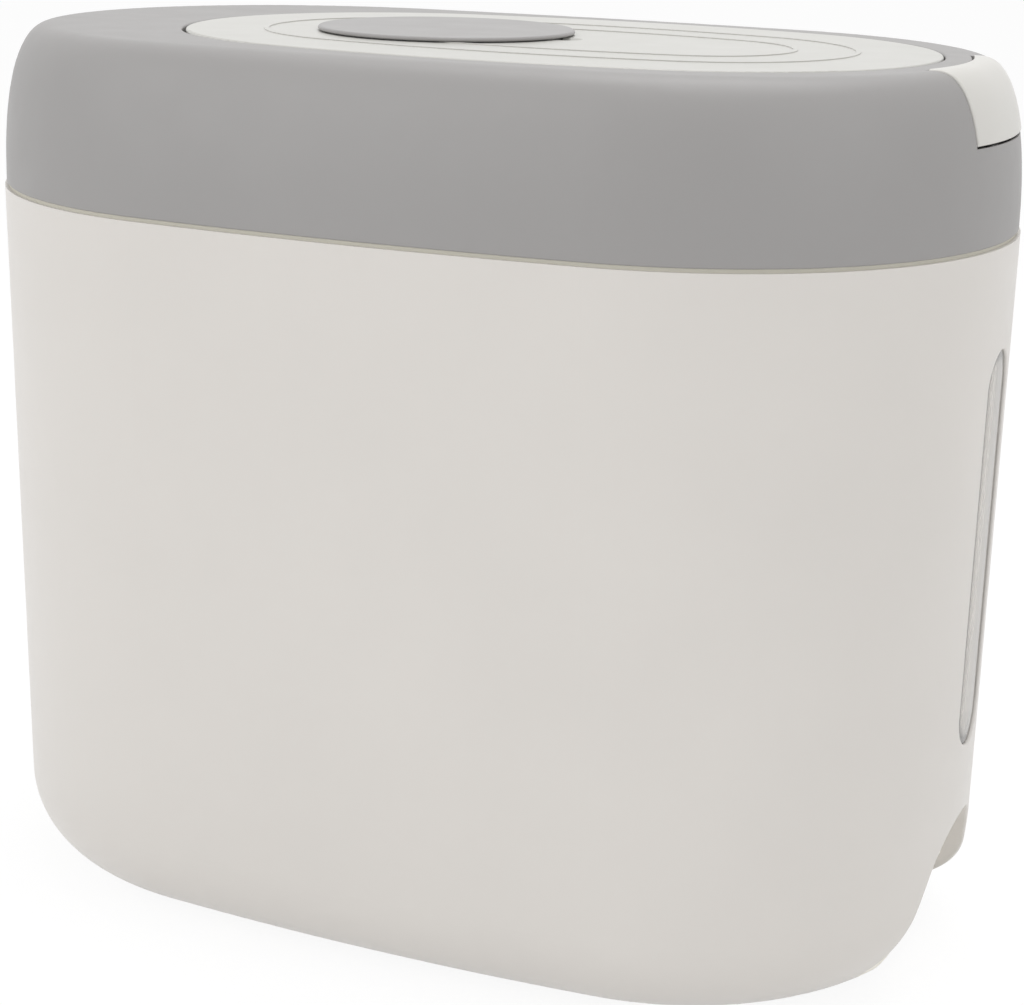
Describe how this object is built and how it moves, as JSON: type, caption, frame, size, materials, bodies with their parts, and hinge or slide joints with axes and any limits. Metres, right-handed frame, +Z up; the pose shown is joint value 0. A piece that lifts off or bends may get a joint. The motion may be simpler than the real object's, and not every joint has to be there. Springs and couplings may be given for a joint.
{
  "type": "rice dispenser with drawer",
  "caption": "Oval countertop rice bin with a domed collar, flip lid with press latch, round absorber cap, level window and a measuring drawer in an arched recess.",
  "frame": {"origin": "centre of the oval footprint on the table, at the bottom of the rubber feet", "axes": "+X along the bin towards the drawer, window and latch; +Z up; Y across the bin"},
  "size_m": [0.352, 0.226, 0.302],
  "materials": {
    "body_plastic": "satin warm white",
    "inner_plastic": "satin warm white",
    "runner_plastic": "smooth natural",
    "front_plastic": "satin warm white",
    "lid_plastic": "satin white",
    "latch_plastic": "satin white",
    "collar_plastic": "satin light grey",
    "cap_plastic": "satin light grey",
    "seal_rubber": "soft grey",
    "foot_rubber": "soft grey",
    "window_clear": "clear plastic",
    "pack_fabric": "white non-woven pouch",
    "damper_plastic": "black moulded",
    "screw_steel": "zinc plated",
    "pin_steel": "ground",
    "spring_steel": "drawn wire"
  },
  "bodies": {
    "housing": {"body_shell": "body_plastic", "foot_rear_right": "foot_rubber", "foot_rear_left": "foot_rubber", "foot_front_right": "foot_rubber", "foot_front_left": "foot_rubber", "bay_screws": "screw_steel", "hopper_screws": "screw_steel", "window_pane": "window_clear", "window_gasket": "seal_rubber", "window_frame": "inner_plastic", "window_screws": "screw_steel", "drawer_bay": "inner_plastic", "drawer_runner_left": "runner_plastic", "drawer_runner_right": "runner_plastic", "hopper": "inner_plastic", "collar": "collar_plastic", "collar_gasket": "seal_rubber", "fill_ring": "inner_plastic", "fill_ring_screws": "screw_steel", "hinge_housing": "inner_plastic", "hinge_screws": "screw_steel", "lid_damper": "damper_plastic", "lid_spring": "spring_steel", "latch_box": "inner_plastic", "latch_box_screws": "screw_steel", "latch_pin": "pin_steel", "latch_spring": "spring_steel"},
    "lid": {"lid_cover": "lid_plastic", "lid_tray": "inner_plastic", "lid_gasket": "seal_rubber", "lid_screws": "screw_steel", "hinge_pin": "pin_steel", "absorber_cup": "inner_plastic", "absorber_pack": "pack_fabric"},
    "cap": {"absorber_cap": "cap_plastic", "cap_ring": "seal_rubber"},
    "latch": {"latch_button": "latch_plastic", "latch_hook": "inner_plastic", "latch_screws": "screw_steel"},
    "drawer": {"drawer_box": "inner_plastic", "drawer_front": "front_plastic", "drawer_screws": "screw_steel", "flow_shutter": "inner_plastic"}
  },
  "joints": [
    {"name": "lid_hinge", "type": "hinge", "parent": "housing", "child": "lid", "pos_m": [-0.1257, 0, 0.2912], "axis": [0, -1, 0], "range_deg": [0, 95]},
    {"name": "cap_lift", "type": "slide", "parent": "lid", "child": "cap", "axis": [0, 0, 1], "range_m": [0, 0.02]},
    {"name": "latch_press", "type": "hinge", "parent": "housing", "child": "latch", "pos_m": [0.1575, 0, 0.29], "axis": [0, 1, 0], "range_deg": [0, 2.5], "stiffness_Nm_per_rad": 1.2, "springref_deg": -2.86, "deforming": ["latch_spring"]},
    {"name": "drawer_slide", "type": "slide", "parent": "housing", "child": "drawer", "axis": [1, 0, 0], "range_m": [0, 0.105]}
  ]
}
